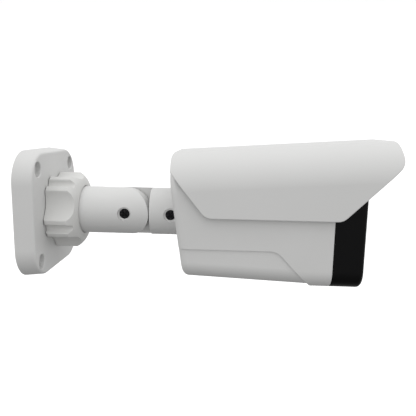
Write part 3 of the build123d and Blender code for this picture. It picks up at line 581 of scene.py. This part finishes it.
def lay_floor(stage):
    """Floor and cove in one sheet: a flat disc whose edge sweeps up all round like a shallow bowl.

    The profile runs out along the floor, turns up through a quarter circle and climbs to the top;
    it is spun about the upright axis. The sheet is seen but throws no light back at the object.
    """
    flat = 2.0
    bend = 1.2
    top = 1.6
    out = np.linspace(0.0, flat, 12)
    turn = np.linspace(0.0, np.pi / 2, 16)[1:]
    rise = np.linspace(0.0, top, 6)[1:]
    radius = np.concatenate([out, flat + bend * np.sin(turn), np.full(rise.size, flat + bend)])
    height = np.concatenate([np.zeros(out.size), bend * (1 - np.cos(turn)), bend + rise]) - stage.floor_drop
    round_about = np.linspace(0.0, 2 * np.pi, 97)[:-1]
    points = np.stack([np.outer(radius, np.cos(round_about)), np.outer(radius, np.sin(round_about)),
                       np.repeat(height[:, None], round_about.size, axis=1)], axis=-1)
    floor = grid_piece("studio_floor", points)
    floor.visible_diffuse = False
    floor.visible_glossy = False
    floor.data.materials.append(pale_studio_paper(stage))


def grid_piece(name, points, weld=False):
    """Object from a grid of points (rows, columns, 3) whose last column joins the first; weld
    closes rows that have drawn together."""
    rows, columns = points.shape[:2]
    index = np.arange(rows * columns).reshape(rows, columns)
    index = np.concatenate([index, index[:, :1]], axis=1)
    corners = [index[:-1, :-1], index[:-1, 1:], index[1:, 1:], index[1:, :-1]]
    quads = np.stack(corners, axis=-1).reshape(-1, 4)
    mesh = bpy.data.meshes.new(name)
    mesh.vertices.add(rows * columns)
    mesh.vertices.foreach_set("co", points.reshape(-1).astype(np.float32))
    mesh.loops.add(quads.size)
    mesh.loops.foreach_set("vertex_index", quads.reshape(-1).astype(np.int32))
    mesh.polygons.add(len(quads))
    mesh.polygons.foreach_set("loop_start", np.arange(0, quads.size, 4, dtype=np.int32))
    mesh.polygons.foreach_set("use_smooth", np.ones(len(quads), dtype=bool))
    mesh.update(calc_edges=True)
    mesh.validate()
    if weld:
        shape = bmesh.new()
        shape.from_mesh(mesh)
        bmesh.ops.remove_doubles(shape, verts=shape.verts, dist=1e-6)
        bmesh.ops.recalc_face_normals(shape, faces=shape.faces)
        shape.to_mesh(mesh)
        shape.free()
    piece = bpy.data.objects.new(name, mesh)
    bpy.context.scene.collection.objects.link(piece)
    return piece


def hang_light(scene, stage):
    """Surround that is brightest overhead and falls evenly to dim underneath, as in a light tent."""
    world = bpy.data.worlds.new("light_tent")
    world.use_nodes = True
    tree = world.node_tree
    background = tree.nodes["Background"]
    facing = add(tree, "ShaderNodeTexCoord").outputs["Generated"]
    upward = add(tree, "ShaderNodeSeparateXYZ", {0: facing}).outputs["Z"]
    tent = between(upward, stage.light_below, stage.light_above, -1.0, 1.0)
    glow = add(tree, "ShaderNodeMapRange", tent).outputs["Result"]
    tree.links.new(glow, background.inputs["Strength"])
    background.inputs["Color"].default_value = (1.0, 1.0, 1.0, 1.0)
    scene.world = world
    scene.view_settings.view_transform = "Standard"
    scene.view_settings.look = "None"


def place_camera(scene, stage):
    """Camera at the arm's right-hand side, a little above, looking almost straight across."""
    data = bpy.data.cameras.new("picture_camera")
    data.sensor_width = 36.0
    data.lens = stage.lens_mm
    data.clip_start = 0.01
    camera = bpy.data.objects.new("picture_camera", data)
    yaw, pitch, roll = np.radians(CAMERA_TURN)
    ahead = Vector((np.sin(yaw) * np.cos(pitch), np.cos(yaw) * np.cos(pitch), -np.sin(pitch)))
    right = Vector((np.cos(yaw), -np.sin(yaw), 0.0))
    up = right.cross(ahead)
    right_rolled = right * np.cos(roll) + up * np.sin(roll)
    up_rolled = up * np.cos(roll) - right * np.sin(roll)
    turn = Matrix((right_rolled, up_rolled, -ahead)).transposed()
    camera.matrix_world = Matrix.Translation(Vector(CAMERA_PLACE)) @ turn.to_4x4()
    scene.collection.objects.link(camera)
    scene.camera = camera


OPERATORS = (BULLETCAM_OT_castings, BULLETCAM_OT_mouldings, BULLETCAM_OT_metalwork, BULLETCAM_OT_seals,
             BULLETCAM_OT_electronics, BULLETCAM_OT_drying_bag, BULLETCAM_OT_optics, BULLETCAM_OT_stage)


class BULLETCAM_PT_panel(bpy.types.Panel):
    """Sidebar panel with every step and the values that shape them"""
    bl_label = "Bullet Camera"
    bl_idname = "BULLETCAM_PT_panel"
    bl_space_type = "VIEW_3D"
    bl_region_type = "UI"
    bl_category = "Bullet Camera"

    def draw(self, context):
        for group in (context.scene.bullet_camera_look, context.scene.bullet_camera_stage):
            for name in group.bl_rna.properties.keys():
                if name not in ("rna_type", "name"):
                    self.layout.prop(group, name)
        for operator in OPERATORS:
            self.layout.operator(operator.bl_idname)


CLASSES = (BulletCameraLook, BulletCameraStage, *OPERATORS, BULLETCAM_PT_panel)


def register():
    for item in CLASSES:
        bpy.utils.register_class(item)
    bpy.types.Scene.bullet_camera_look = bpy.props.PointerProperty(type=BulletCameraLook)
    bpy.types.Scene.bullet_camera_stage = bpy.props.PointerProperty(type=BulletCameraStage)


def unregister():
    del bpy.types.Scene.bullet_camera_stage
    del bpy.types.Scene.bullet_camera_look
    for item in reversed(CLASSES):
        bpy.utils.unregister_class(item)


def main():
    register()
    for operator in OPERATORS:
        group, name = operator.bl_idname.split(".")
        getattr(getattr(bpy.ops, group), name)()


if __name__ == "__main__":
    main()
